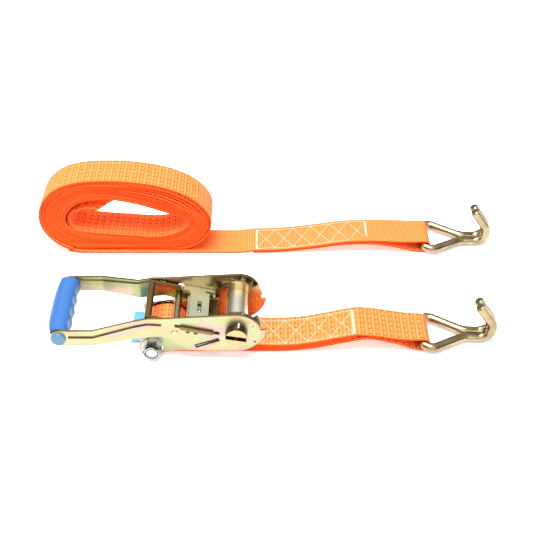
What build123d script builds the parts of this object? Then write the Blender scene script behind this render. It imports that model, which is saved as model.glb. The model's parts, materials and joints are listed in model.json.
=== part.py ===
"""Ratchet tie down for 50 mm webbing: ratchet buckle, fixed strap with hook, long strap with hook.

Axes: X along the straps (hooks at +X), Y across the webbing, Z up from the surface it lies on.
While the pieces are made, x = 0 and y = 0 are the mandrel's axis and the buckle's mid-plane,
and heights are measured from the surface. At the end everything is moved so that the origin
is the middle of the footprint.
"""
import math
import os

from build123d import *

# ---------------------------------------------------------------- driving dimensions (mm)
WEB_WIDTH = 50.0            # webbing
WEB_THICK = 2.5
AXLE_Z = 41.4               # height of the mandrel's axis

MANDREL_R = 12.3            # two half-round bars
MANDREL_SLOT = 5.8          # gap between them, where the webbing goes through
MANDREL_HALF = 48.0         # half length
SLOT_TILT = 10.0            # degrees, the slot's slope at rest

PLATE = 3.0                 # thickness of all pressed plates
FRAME_IN = 26.5             # inner face of each frame plate, from the mid-plane
WHEEL_IN = 30.0             # ratchet wheels run between frame and handle plates
WHEEL_OUT = 34.5
HANDLE_IN = 35.0            # inner face of each handle plate at the mandrel
HANDLE_FLARE = 12.0         # how much further out the arms are at the grip

TEETH = 12
TOOTH_TIP_R = 25.4
TOOTH_ROOT_R = 19.6
FIRST_TIP = 168.3           # degrees, direction of one tooth tip at rest

BOLT_X = -96.8              # M12 bolt that holds the fixed strap
BOLT_Z = 14.1
BOLT_R = 6.0
BUSH_R = 8.0
LUG_R = 14.1

ROD_X = -69.4               # cross rod of the handle, level with the mandrel
ROD_R = 4.0
GRIP_X = -198.0             # hand grip
GRIP_Z = AXLE_Z + 2.0
GRIP_R = 11.5
TUBE_R = 7.0
CAP_R = 8.3

HOOK_WIRE_R = 5.55          # 11 mm hooks
HOOK_HALF = 35.0            # where bar and legs would meet without their bend, from the hook's middle
HOOK_CORNER_R = 11.0
HOOK_NECK = 66.0            # from the bar to the start of the curl
HOOK_CURL_R = 15.4
HOOK_CURL_ANGLE = 128.0
HOOK_TIP = 28.0
HOOK_TILT = 3.1             # degrees, nose down from the bar
BAR_Z = 9.4
FIXED_BAR_X = 214.0
LONG_BAR_X = 237.0

LONG_Y = 189.0              # middle of the long strap
COIL_Y = 193.0              # middle of its coil
THREAD = 1.1                # width of the sewing thread
THREAD_HIGH = 0.55          # how far it stands out of the webbing
THREAD_GAP = 0.02           # clearance between thread and webbing
RUN = 0.1                   # running clearance of turning parts

# how each pawl is placed: tip in the wheels, slope of its slide (degrees, positive is nose down)
DRIVE_TIP = (-22.9, AXLE_Z)
DRIVE_SLOPE = 13.2
DRIVE_HELD = 3.2            # the closed handle's catch holds the drive pawl this far back
LOCK_TIP = (-20.2, AXLE_Z - 9.7)
LOCK_SLOPE = -20.8
PAWL_THICK = 4.0


# ---------------------------------------------------------------- helpers
def across(sketch, y_low, y_high):
    """Extrude a side-view sketch (x, z) between two distances across the webbing."""
    return Pos(0, y_low, 0) * extrude(Plane.XZ * sketch, y_high - y_low, dir=(0, 1, 0))


def upright(sketch, z_low, z_high):
    """Extrude a plan-view sketch (x, y) between two heights."""
    return Pos(0, 0, z_low) * extrude(sketch, z_high - z_low, dir=(0, 0, 1))


def box_between(x_span, y_span, z_span):
    """A box from its three spans."""
    size = [high - low for low, high in (x_span, y_span, z_span)]
    middle = [(high + low) / 2 for low, high in (x_span, y_span, z_span)]
    return Pos(*middle) * Box(*size)


def rod(x, z, radius, y_low, y_high):
    """A round bar across the buckle."""
    return across(Pos(x, z) * Circle(radius), y_low, y_high)


def other_side(shape):
    """The same piece on the near side of the mid-plane."""
    return mirror(shape, Plane.XZ)


def both_sides(shape):
    """A piece and its mirror image, kept as separate solids."""
    return Compound(children=[*shape.solids(), *other_side(shape).solids()])


def polar(radius, degrees):
    """A side-view point at a direction from the mandrel's axis."""
    angle = math.radians(degrees)
    return (radius * math.cos(angle), AXLE_Z + radius * math.sin(angle))


def wedge(radius, start, stop):
    """A pie slice about the mandrel's axis."""
    far = 3 * radius
    middle = (start + stop) / 2
    slice_ = Polygon((0, AXLE_Z), polar(far, start), polar(far, middle), polar(far, stop), align=None)
    return slice_ & (Pos(0, AXLE_Z) * Circle(radius))


def slide_place(tip, slope):
    """From a pawl's own axes (+X towards the wheel, origin at its tip) to the buckle."""
    return Pos(tip[0], 0, tip[1]) * Rot(0, slope, 0)


def slide_slot(tip, slope, u_low, u_high, v_low, v_high):
    """A side-view rectangle laid along a pawl's slide."""
    turn = Pos(*tip) * Rot(0, 0, -slope)
    middle = Pos((u_low + u_high) / 2, (v_low + v_high) / 2)
    return turn * middle * Rectangle(u_high - u_low, v_high - v_low)


def coil_spring(radius, wire, length, turns):
    """An open compression spring along +X from the origin."""
    path = Helix(pitch=length / turns, height=length, radius=radius)
    section = Plane(path @ 0, z_dir=path % 0) * Circle(wire / 2)
    return Rot(0, 90, 0) * sweep(section, path=path, is_frenet=True)


# ---------------------------------------------------------------- frame
TAB_WIDTH = 4.2
TAB_THICK = 2.2
TAB_SHORT = 2.0             # how far the tabs end below the plate's outer face
LOCK_TABS = (-24.0, -16.0)
LOCK_BRACKET_V = -5.2


def frame_profile():
    """Side view of a frame plate: bolt lug, body, cam and round end."""
    end_r = 33.5
    hub_r = 21.8
    tang_z = AXLE_Z - 3.6
    cam_r = 29.3
    body_low = AXLE_Z - 34.0
    body_high = AXLE_Z - 6.5
    lug_left = BOLT_X - LUG_R
    axis = Pos(0, AXLE_Z)
    lower_half = Polygon((-60, tang_z), (60, tang_z), (60, -20), (-60, -20), align=None)
    round_end = (axis * Circle(end_r)) & lower_half
    hub = axis * Circle(hub_r)
    cam = wedge(cam_r, 5, 36) + wedge(cam_r - 1.6, -8, 6)
    catch = wedge(27.0, 150, 170)
    body = Polygon(
        (0, AXLE_Z - 4), (-31, AXLE_Z - 4), (-35, body_high), (-76, body_high), (-107, 29.5),
        (lug_left, 27.0), (lug_left, BOLT_Z), (BOLT_X, BOLT_Z), (-88, 3.2), (-72, body_low),
        (0, body_low), align=None,
    )
    lug = Pos(BOLT_X, BOLT_Z) * Circle(LUG_R)
    return round_end + hub + cam + catch + body + lug


def frame_plate():
    """Far frame plate with its mandrel bearing, bolt hole, pawl slot and bracket windows."""
    holes = Pos(0, AXLE_Z) * Circle(MANDREL_R + RUN)
    holes += Pos(BOLT_X, BOLT_Z) * Circle(BOLT_R)
    holes += slide_slot(LOCK_TIP, LOCK_SLOPE, -37.0, 0.8, -PAWL_THICK / 2 - 0.2, PAWL_THICK / 2 + 0.2)
    for tab in LOCK_TABS:
        holes += slide_slot(LOCK_TIP, LOCK_SLOPE, tab - TAB_WIDTH / 2, tab + TAB_WIDTH / 2,
                            LOCK_BRACKET_V - TAB_THICK / 2, LOCK_BRACKET_V + TAB_THICK / 2)
    return across(frame_profile() - holes, FRAME_IN, FRAME_IN + PLATE)


def bolt():
    """M12 hexagon bolt, head on the far side."""
    out = FRAME_IN + PLATE
    head = across(Pos(BOLT_X, BOLT_Z) * RegularPolygon(9.5, 6, major_radius=False), out + 1.5, out + 9.0)
    shank = rod(BOLT_X, BOLT_Z, BOLT_R, -out - 13.0, out + 1.5)
    return head + shank


def lock_nut():
    """M12 self-locking nut on the near side."""
    out = FRAME_IN + PLATE + 1.5
    hexagon = across(Pos(BOLT_X, BOLT_Z) * RegularPolygon(9.5, 6, major_radius=False), -out - 9.5, -out)
    collar = rod(BOLT_X, BOLT_Z, 8.9, -out - 12.0, -out - 9.5)
    return hexagon + collar - rod(BOLT_X, BOLT_Z, BOLT_R, -out - 13, -out + 1) - nylon_seat()


def nylon_seat():
    """Room for the nylon ring inside the nut's collar."""
    out = FRAME_IN + PLATE + 1.5
    return rod(BOLT_X, BOLT_Z, 7.3, -out - 12.0, -out - 9.0)


def nylon_ring():
    """Nylon locking ring of the nut."""
    return nylon_seat() - rod(BOLT_X, BOLT_Z, BOLT_R, -60, 0)


def washers():
    """One washer under the bolt's head and one under the nut."""
    out = FRAME_IN + PLATE
    ring = rod(BOLT_X, BOLT_Z, 12.0, out, out + 1.5) - rod(BOLT_X, BOLT_Z, BOLT_R, out - 1, out + 3)
    return both_sides(ring)


def strap_bush():
    """Spacer tube on the bolt that the fixed strap loops round."""
    return rod(BOLT_X, BOLT_Z, BUSH_R, -FRAME_IN, FRAME_IN) - rod(BOLT_X, BOLT_Z, BOLT_R, -30, 30)


# ---------------------------------------------------------------- pawls, their springs and brackets
def spring_bracket(u_span, window, half_width, tabs, v_middle):
    """Cross plate under a pawl, with a window for its spring and tabs into the side plates."""
    v_span = (v_middle - TAB_THICK / 2, v_middle + TAB_THICK / 2)
    plate = box_between(u_span, (-half_width, half_width), v_span)
    for tab in tabs:
        reach = half_width + PLATE - TAB_SHORT
        plate += box_between((tab - TAB_WIDTH / 2, tab + TAB_WIDTH / 2), (-reach, reach), v_span)
    opening = box_between(window, (-4.0, 4.0), (v_middle - 3, v_middle + 3))
    return plate - opening


DRIVE_BRACKET_V = -6.2
DRIVE_TABS = (-31.4, -22.2)
DRIVE_SPRING = (-32.2, -18.8)
LOCK_SPRING = (-29.0, -13.4)
LUG_THICK = 2.2


def pressed_lug(u_start, v_low):
    """Tongue pressed down from a pawl, which its spring pushes on."""
    return box_between((u_start, u_start + LUG_THICK), (-3.4, 3.4), (v_low, -PAWL_THICK / 2))


PULL_U = -78.0              # finger pull of the drive pawl, along its slide


def drive_pawl():
    """Sliding plate on the handle: ears, nose, spring tongue, two arms and a rolled finger pull."""
    half = PAWL_THICK / 2
    v_span = (-half, half)
    ear_out = HANDLE_IN + PLATE + 3.0
    plate = box_between((-32.8, -10.4), (-26, 26), v_span)
    ears = box_between((-41.0, -DRIVE_HELD), (26, ear_out), v_span)
    ears -= box_between((-15.0, 1), (26.1, 29.8), (-5, 5))
    nose = box_between((-6, -DRIVE_HELD - 0.6), (21.5, 26), v_span)
    arm = box_between((PULL_U, -40), (29.8, 32.8), (-3.4, half))
    pull_profile = fillet(Rectangle(8.0, 12.0).vertices().sort_by(Axis.Y)[-2:], 3.4)
    inner = Pos(1.9, -2.4) * fillet(Rectangle(7.0, 12.0).vertices().sort_by(Axis.Y)[-2:], 1.6)
    pull = Pos(PULL_U, 0, half - 6.0) * across(pull_profile - inner, -32.8, 32.8)
    side = ears + nose + arm
    body = plate + side + other_side(side) + pull
    slot = box_between((-23.8, -18.9), (-10, 10), (-5, 5))
    body = body - slot + pressed_lug(DRIVE_SPRING[1], DRIVE_BRACKET_V - 3.0)
    bridge = box_between((-18.9, -16.5), (-3.4, 3.4), v_span)
    return slide_place(DRIVE_TIP, DRIVE_SLOPE) * (body + bridge)


def drive_bracket():
    """Spring bracket of the drive pawl, fixed between the handle plates."""
    bracket = spring_bracket((-34.4, -10.6), (DRIVE_SPRING[0], -12.9), HANDLE_IN, DRIVE_TABS, DRIVE_BRACKET_V)
    return slide_place(DRIVE_TIP, DRIVE_SLOPE) * bracket


def drive_spring():
    """Spring that holds the drive pawl in the wheels."""
    spring = coil_spring(2.6, 1.0, DRIVE_SPRING[1] - DRIVE_SPRING[0] - 1.2, 6)
    middle = Pos(DRIVE_SPRING[0] + 0.6, 0, DRIVE_BRACKET_V)
    return slide_place(DRIVE_TIP, DRIVE_SLOPE) * middle * spring


def locking_pawl():
    """Sliding plate in the frame that keeps the wheels from running back."""
    half = PAWL_THICK / 2
    reach = WHEEL_OUT + 0.1
    body = box_between((-29.5, -3.0), (-26, 26), (-half, half))
    ears = box_between((-29.5, 0), (25.5, reach), (-half, half))
    slot = box_between((-18.4, -13.5), (-8, 8), (-5, 5))
    bridge = box_between((-13.5, -11.2), (-3.4, 3.4), (-half, half))
    pawl = body + ears + other_side(ears) - slot + bridge
    return slide_place(LOCK_TIP, LOCK_SLOPE) * (pawl + pressed_lug(LOCK_SPRING[1], LOCK_BRACKET_V - 2.6))


def locking_bracket():
    """Spring bracket of the locking pawl, fixed between the frame plates."""
    bracket = spring_bracket((-31.0, -8.5), (LOCK_SPRING[0], -10.6), FRAME_IN, LOCK_TABS, LOCK_BRACKET_V)
    return slide_place(LOCK_TIP, LOCK_SLOPE) * bracket


def locking_spring():
    """Spring that holds the locking pawl in the wheels."""
    spring = coil_spring(2.0, 0.9, LOCK_SPRING[1] - LOCK_SPRING[0] - 1.2, 6)
    middle = Pos(LOCK_SPRING[0] + 0.6, 0, LOCK_BRACKET_V)
    return slide_place(LOCK_TIP, LOCK_SLOPE) * middle * spring


# ---------------------------------------------------------------- spool
def half_moon():
    """Cross-section of the upper mandrel bar, centred on the axis, slot level."""
    keep = Pos(0, MANDREL_SLOT / 2 + MANDREL_R) * Rectangle(3 * MANDREL_R, 2 * MANDREL_R)
    return Circle(MANDREL_R) & keep


def on_axle(sketch, turn=0.0):
    """Turn a sketch about the mandrel's axis, at its rest angle."""
    return Pos(0, AXLE_Z) * Rot(0, 0, turn - SLOT_TILT) * sketch


def mandrel_half(turn):
    """One half-round bar of the mandrel, with its two split-pin holes."""
    bar = across(on_axle(half_moon(), turn), -MANDREL_HALF, MANDREL_HALF)
    for y in (-PIN_Y, PIN_Y):
        bar -= pin_place(y) * Cylinder(PIN_R, 40)
    return bar


PIN_Y = 42.5
PIN_R = 1.8


def pin_place(y):
    """Where a split pin crosses the mandrel, square to its slot, +Z outwards at the top."""
    return Pos(0, y, AXLE_Z) * Rot(0, SLOT_TILT, 0)


def split_pin():
    """Split pin: shank, eye at the top and two legs bent over at the bottom."""
    top = MANDREL_R + 0.4
    shank = Pos(0, 0, -0.6) * Cylinder(PIN_R, 2 * top + 1.2)
    eye = Pos(0, 0, top + 2.6) * Rot(0, 90, 0) * Torus(2.6, 1.0)
    leg = Pos(0, 2.0, -top - 0.9) * Box(2.4, 4.0, 1.4)
    return shank + eye + leg + other_side(leg)


def split_pins():
    """The two split pins that hold the mandrel bars."""
    pins = [pin_place(y) * split_pin() for y in (-PIN_Y, PIN_Y)]
    return Compound(children=[solid for pin in pins for solid in pin.solids()])


def ratchet_wheel():
    """Toothed wheel, with two half-moon holes that fit the mandrel bars."""
    pitch = 360 / TEETH
    outline = []
    for tooth in range(TEETH):
        tip = FIRST_TIP + tooth * pitch
        outline += [polar(TOOTH_TIP_R, tip - 2.5), polar(TOOTH_TIP_R, tip), polar(TOOTH_ROOT_R, tip + 2.5)]
    disc = Polygon(*outline, align=None)
    return across(disc - on_axle(half_moon()) - on_axle(half_moon(), 180), WHEEL_IN, WHEEL_OUT)


# ---------------------------------------------------------------- handle
ARM_BENDS = (-160.0, -116.0)
GROOVE_WIDTH = 4.0          # rib pressed inwards: groove outside, wider ridge inside
GROOVE_DEPTH = 2.2
RIDGE_WIDTH = 7.4
RIDGE_HIGH = 1.8


def handle_profile():
    """Side view of a handle plate: round end, body and cranked arm."""
    end = Pos(1.2, AXLE_Z - 0.8) * Circle(26.0)
    tip = Pos(GRIP_X, GRIP_Z) * Circle(10.3)
    upper = [(1.2, 25.2), (-40, 22.7), (-80, 20.1), (-99, 19.8), (-116, 16.2), (-160, 12.8), (GRIP_X, 12.3)]
    lower = [(GRIP_X, -8.3), (-160, -8.2), (-116, -9.1), (-104, -7.2), (-86, -5.6), (-78, -8.2),
             (-67, -17.6), (-58, -23.6), (-48, -26.4), (1.2, -26.8)]
    body = Polygon(*[(x, AXLE_Z + z) for x, z in upper + lower], align=None)
    return end + tip + body


def arm_sheet(inner, outer):
    """Plan view of the far arm's sheet between two depths from its middle surface."""
    middle = HANDLE_IN + PLATE / 2
    flared = middle + HANDLE_FLARE
    line = [(40, middle), (ARM_BENDS[1], middle), (ARM_BENDS[0], flared), (-230, flared)]
    inside = FilletPolyline(*[(x, y + inner) for x, y in line], radius=14)
    outside = FilletPolyline(*[(x, y + outer) for x, y in line], radius=14)
    ends = Line(inside @ 0, outside @ 0) + Line(inside @ 1, outside @ 1)
    return upright(make_face(inside + outside + ends), 0, 90)


def rib_band(width):
    """Side view of the stiffening rib pressed along the arm."""
    line = [(-84, 11.8), (-101, 12.9), (-117, 9.0), (-160, 4.2), (-187, 4.2)]
    return trace(FilletPolyline(*[(x, AXLE_Z + z) for x, z in line], radius=16), width)


def handle_plate():
    """Far handle plate: arm, rib, pawl slots, bracket windows, mandrel and rod holes."""
    holes = Pos(0, AXLE_Z) * Circle(MANDREL_R + RUN)
    holes += Pos(ROD_X, AXLE_Z) * Circle(ROD_R)
    holes += Pos(GRIP_X, GRIP_Z) * Circle(5.0)
    holes += slide_slot(DRIVE_TIP, DRIVE_SLOPE, -47.4, 3.9, -PAWL_THICK / 2 - 0.25, PAWL_THICK / 2 + 0.25)
    holes += slide_slot(LOCK_TIP, LOCK_SLOPE, -29.0, 0.4, -PAWL_THICK / 2 - 0.7, PAWL_THICK / 2 + 0.7)
    holes += Pos(20.8, AXLE_Z - 13.0) * Circle(1.2)
    holes += Pos(18.7, AXLE_Z + 9.7) * Circle(0.8)
    for tab in DRIVE_TABS:
        holes += slide_slot(DRIVE_TIP, DRIVE_SLOPE, tab - TAB_WIDTH / 2, tab + TAB_WIDTH / 2,
                            DRIVE_BRACKET_V - TAB_THICK / 2, DRIVE_BRACKET_V + TAB_THICK / 2)
    sheet = arm_sheet(-PLATE / 2, PLATE / 2)
    plate = across(handle_profile() - holes, HANDLE_IN - 5, HANDLE_IN + 30) & sheet
    groove = across(rib_band(GROOVE_WIDTH), HANDLE_IN - 5, HANDLE_IN + 30)
    groove &= arm_sheet(PLATE / 2 - GROOVE_DEPTH, PLATE / 2 + 3)
    ridge = across(rib_band(RIDGE_WIDTH), HANDLE_IN - 5, HANDLE_IN + 30)
    ridge &= arm_sheet(-PLATE / 2 - RIDGE_HIGH, -PLATE / 2 + 0.2)
    return plate - groove + ridge


def handle_rod():
    """Cross rod riveted into both handle plates."""
    reach = HANDLE_IN + PLATE + 1.0
    bar = rod(ROD_X, AXLE_Z, ROD_R, -reach, reach)
    return chamfer(bar.edges().group_by(Axis.Y)[0] + bar.edges().group_by(Axis.Y)[-1], 0.8)


def grip_tube():
    """Steel tube between the arms, inside the grip."""
    reach = HANDLE_IN + HANDLE_FLARE
    return rod(GRIP_X, GRIP_Z, TUBE_R, -reach, reach) - rod(GRIP_X, GRIP_Z, 5.0, -60, 60)


GRIP_BACK = 9.5             # from the tube's axis to the grip's outer edge, at its ends
GRIP_BOW = 6.0
GRIP_FRONT = 10.8           # from the tube's axis to the inner edge
SCALLOPS = 4
SCALLOP_DEPTH = 3.0


def grip_sleeve():
    """Moulded hand grip: bowed outwards, with finger scallops on the inner side."""
    reach = HANDLE_IN + HANDLE_FLARE - 0.2
    back = GRIP_X - GRIP_BACK
    front = GRIP_X + GRIP_FRONT
    land = reach - 6
    step = 2 * land / SCALLOPS
    outline = ThreePointArc((back, -reach), (back - GRIP_BOW, 0), (back, reach))
    outline += Line((back, reach), (front, reach)) + Line((front, reach), (front, land))
    for index in range(SCALLOPS):
        high = land - index * step
        low = high - step
        outline += ThreePointArc((front, high), (front - SCALLOP_DEPTH, (high + low) / 2), (front, low))
    outline += Line((front, -land), (front, -reach)) + Line((front, -reach), (back, -reach))
    plan = upright(make_face(outline), GRIP_Z - 20, GRIP_Z + 20)
    section = Pos(GRIP_X - 2.0, GRIP_Z) * Ellipse(14.0, GRIP_R)
    return (plan & across(section, -reach, reach)) - rod(GRIP_X, GRIP_Z, TUBE_R, -60, 60)


def grip_cap():
    """Domed plug in the end of the grip tube, on the far side."""
    out = HANDLE_IN + HANDLE_FLARE + PLATE
    dome = rod(GRIP_X, GRIP_Z, CAP_R, out, out + 3.0)
    dome = fillet(dome.edges().group_by(Axis.Y)[-1], 2.0)
    return dome + rod(GRIP_X, GRIP_Z, 5.0, out - 12, out)


# ---------------------------------------------------------------- webbing
FIXED_STACK = 4 * WEB_THICK + 0.4
FIXED_SEWN = (-44.0, 140.0)
LONG_STACK = 2 * WEB_THICK
LONG_SEWN = (17.0, 168.0)
LOOP_R = HOOK_WIRE_R + 1.05 + WEB_THICK / 2
BUSH_GAP = 0.6              # between the bolt's bush and the webbing round it
LOOP_HALF = 18.8            # half width of the webbing where the hook's corners squeeze it


def fixed_stack_line():
    """Middle of the sewn layers of the fixed strap, seen from the side."""
    heights = [(20, 6.3), (54, 6.3), (75, 8.2), (97, 12.6), (119, 18.3), (FIXED_SEWN[1], 22.9)]
    return Line((-52, 6.3), heights[0]) + Spline(*heights, tangents=[(1, 0), (1, 0.08)])


def hook_loop(bar_x, start_high, start_low, above, below):
    """Webbing round a hook's bar: upper run, bend and lower run."""
    top = (bar_x, BAR_Z + LOOP_R)
    bottom = (bar_x, BAR_Z - LOOP_R)
    bend = trace(ThreePointArc(top, (bar_x + LOOP_R, BAR_Z), bottom), WEB_THICK)
    upper = trace(Spline(start_high, *above, top, tangents=[(1, 0), (1, 0)]), WEB_THICK)
    lower = trace(Spline(start_low, *below, bottom, tangents=[(1, 0), (1, -0.1)]), WEB_THICK)
    return bend + upper + lower


def squeezed_edges(bar_x):
    """What the hook's corners take off the webbing's two edges at its bar."""
    edge = box_between((bar_x - 14, bar_x + 12), (LOOP_HALF, WEB_WIDTH), (-1, 30))
    return edge + other_side(edge)


def bolt_loop():
    """Webbing round the bolt's bush, with its slack bulging up behind the locking pawl."""
    radius = BUSH_R + BUSH_GAP + WEB_THICK / 2
    around = [(BOLT_X + radius * math.cos(math.radians(turn)), BOLT_Z + radius * math.sin(math.radians(turn)))
              for turn in (-90, -135, 180)]
    bulge = [(-103.5, 24.6), (-90, 31.0), (-76, 31.0), (-64.5, 24.0), (-58.8, 15.0)]
    line = Spline((-50, 2.4), (-74, 3.0), *around, *bulge, (-50, 10.0), tangents=[(-1, 0), (1, -0.15)])
    return trace(line, WEB_THICK)


def fixed_webbing():
    """Fixed strap: bolt loop, sewn layers and hook loop in one piece of webbing."""
    end_z = 22.9
    high = (FIXED_SEWN[1] - 1, end_z + FIXED_STACK / 2 - WEB_THICK / 2)
    low = (FIXED_SEWN[1] - 1, end_z - FIXED_STACK / 2 + WEB_THICK / 2)
    above = [(156, 24.8), (172, 22.0), (190, 18.9)]
    below = [(154, 19.9), (170, 16.3), (188, 11.0), (203, 3.9)]
    side = trace(fixed_stack_line(), FIXED_STACK)
    side += hook_loop(FIXED_BAR_X, high, low, above, below) + bolt_loop()
    return across(side, -WEB_WIDTH / 2, WEB_WIDTH / 2) - squeezed_edges(FIXED_BAR_X)


def long_stack_line():
    """Middle of the sewn layers of the long strap, seen from the side."""
    heights = [(17, 2.6), (51, 4.0), (77, 6.9), (103, 10.7), (124, 14.5), (145, 16.7), (LONG_SEWN[1], 17.2)]
    return Spline(*heights, tangents=[(1, 0), (1, 0)])


def long_lead():
    """Long strap from under the coil to its hook."""
    flat_end = (-8, WEB_THICK / 2)
    lead = Line((-212, WEB_THICK / 2), flat_end)
    lead += Spline(flat_end, (6, 2.2), (17.5, 3.85), tangents=[(1, 0), (1, 0.05)])
    high = (LONG_SEWN[1] - 1, 17.2 + WEB_THICK / 2)
    low = (LONG_SEWN[1] - 1, 17.2 - WEB_THICK / 2)
    above = [(190, 18.0), (212, 17.3)]
    below = [(188, 13.0), (208, 8.4), (224, 3.4)]
    side = trace(lead, WEB_THICK) + trace(long_stack_line(), LONG_STACK)
    side += hook_loop(LONG_BAR_X, high, low, above, below)
    return Pos(0, LONG_Y, 0) * (across(side, -WEB_WIDTH / 2, WEB_WIDTH / 2) - squeezed_edges(LONG_BAR_X))


def long_coil():
    """The rest of the long strap, wound into an oval coil that lies on the lead."""
    base = 2.7
    over = Spline((-205, base), (-225, 6.5), (-242, 19), (-256, 54), (-234, 95), (-172, 110),
                  (-107, 103), (-58, 82), (-36, 47), (-45, 19), (-62, 6.5), (-80, base))
    outer = make_face(over + Line((-80, base), (-205, base)))
    hole = make_face(Spline((-221, 50), (-203, 73), (-168, 79), (-105, 63), (-69, 44), (-88, 30),
                            (-134, 26), (-188, 29), periodic=True))
    return across(outer - hole, COIL_Y - WEB_WIDTH / 2, COIL_Y + WEB_WIDTH / 2)


def sewing(x_low, x_high, y_low, y_high, crosses, bar_ends):
    """Plan view of a sewn box: two rails, a crossed zigzag and bar tacks."""
    rails = [Line((x_low, y), (x_high, y)) for y in (y_low, y_high)]
    step = (x_high - x_low) / crosses
    zigzag = []
    for index in range(crosses):
        left = x_low + index * step
        zigzag.append(Line((left, y_low), (left + step, y_high)))
        zigzag.append(Line((left, y_high), (left + step, y_low)))
    pattern = Sketch() + [trace(line, THREAD) for line in rails + zigzag]
    for x in bar_ends:
        pattern += trace(Line((x, y_low), (x, y_high)), 2.5 * THREAD)
    return pattern


def stitching(layers, stack, pattern, middle_y):
    """Thread lying on the upper surface of sewn layers, where the pattern is."""
    bands = trace(layers, stack + 2 * THREAD_HIGH) - trace(layers, stack + 2 * THREAD_GAP)
    upper = bands.faces().sort_by(Axis.Y)[-1]
    thread = across(upper, -WEB_WIDTH / 2, WEB_WIDTH / 2) & upright(pattern, 0, 60)
    return Pos(0, middle_y, 0) * thread


def fixed_stitching():
    """White sewing of the fixed strap."""
    pattern = sewing(-38, FIXED_SEWN[1] - 4, -21.5, 18.5, 6, (FIXED_SEWN[1] - 4, ))
    return stitching(fixed_stack_line(), FIXED_STACK, pattern, 0)


def long_stitching():
    """White sewing of the long strap."""
    ends = (LONG_SEWN[0] + 4, LONG_SEWN[1] - 4)
    pattern = sewing(*ends, -21.0, 19.0, 6, ends)
    return stitching(long_stack_line(), LONG_STACK, pattern, LONG_Y)


def label_tag():
    """Plain label sewn to the bolt loop, standing out to the left."""
    left = BOLT_X - BUSH_R - BUSH_GAP - WEB_THICK - 0.1
    return box_between((left - 16, left), (-24, 24), (BOLT_Z - 0.2, BOLT_Z + 0.8))


# ---------------------------------------------------------------- hooks
def wire_half():
    """Near half of the hook's wire, from the bar's middle to a tip, lying flat with its bar at the origin."""
    side = -HOOK_WIRE_R - 0.1
    ring = FilletPolyline((0, 0), (0, -HOOK_HALF), (50, side), (HOOK_NECK, side),
                          radius=(HOOK_CORNER_R, 22.0))

    def on_curl(degrees):
        angle = math.radians(degrees)
        return (HOOK_NECK + HOOK_CURL_R * math.sin(angle), side, HOOK_CURL_R * (1 - math.cos(angle)))

    curl = ThreePointArc(on_curl(0), on_curl(HOOK_CURL_ANGLE / 2), on_curl(HOOK_CURL_ANGLE))
    end = Vector(*on_curl(HOOK_CURL_ANGLE))
    lean = math.radians(HOOK_CURL_ANGLE)
    tip = Line(end, end + Vector(HOOK_TIP * math.cos(lean), 0, HOOK_TIP * math.sin(lean)))
    path = Wire([*ring.edges(), *curl.edges(), *tip.edges()])
    section = Plane(path @ 0, z_dir=path % 0) * Circle(HOOK_WIRE_R)
    wire = sweep(section, path=path)
    return chamfer(wire.edges().sort_by(Axis.Z)[-1], 1.6)


def hook(bar_x, middle_y):
    """Double claw hook of one bent wire, bar in the webbing's loop, tips turned up and back."""
    wire = wire_half()
    return Pos(bar_x, middle_y, BAR_Z) * Rot(0, HOOK_TILT, 0) * (wire + other_side(wire))


# ---------------------------------------------------------------- all nodes
def build_nodes():
    """Every sub-part by node name."""
    return {
        "frame_plate_far": frame_plate(),
        "frame_plate_near": other_side(frame_plate()),
        "strap_bolt": bolt(),
        "lock_nut": lock_nut(),
        "nut_nylon_ring": nylon_ring(),
        "bolt_washers": washers(),
        "strap_bush": strap_bush(),
        "locking_pawl_bracket": locking_bracket(),
        "locking_pawl": locking_pawl(),
        "locking_pawl_spring": locking_spring(),
        "mandrel_bar_upper": mandrel_half(0),
        "mandrel_bar_lower": mandrel_half(180),
        "mandrel_split_pins": split_pins(),
        "ratchet_wheel_far": ratchet_wheel(),
        "ratchet_wheel_near": other_side(ratchet_wheel()),
        "handle_plate_far": handle_plate(),
        "handle_plate_near": other_side(handle_plate()),
        "handle_cross_rod": handle_rod(),
        "grip_tube": grip_tube(),
        "grip_sleeve": grip_sleeve(),
        "grip_cap_far": grip_cap(),
        "grip_cap_near": other_side(grip_cap()),
        "drive_pawl_bracket": drive_bracket(),
        "drive_pawl": drive_pawl(),
        "drive_pawl_spring": drive_spring(),
        "fixed_strap_webbing": fixed_webbing(),
        "fixed_strap_stitching": fixed_stitching(),
        "fixed_strap_label": label_tag(),
        "fixed_strap_hook": hook(FIXED_BAR_X, 0),
        "long_strap_coil": long_coil(),
        "long_strap_lead": long_lead(),
        "long_strap_stitching": long_stitching(),
        "long_strap_hook": hook(LONG_BAR_X, LONG_Y),
    }


nodes = build_nodes()
extent = Compound(children=[solid for shape in nodes.values() for solid in shape.solids()]).bounding_box()
shift = Vector(-extent.center().X, -extent.center().Y, -extent.min.Z)

os.makedirs("parts", exist_ok=True)
for name, shape in nodes.items():
    export_step(Pos(shift) * shape, f"parts/{name}.step")
print("moved by", shift, "size", extent.size)
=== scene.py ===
import json
import math
import random

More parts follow.
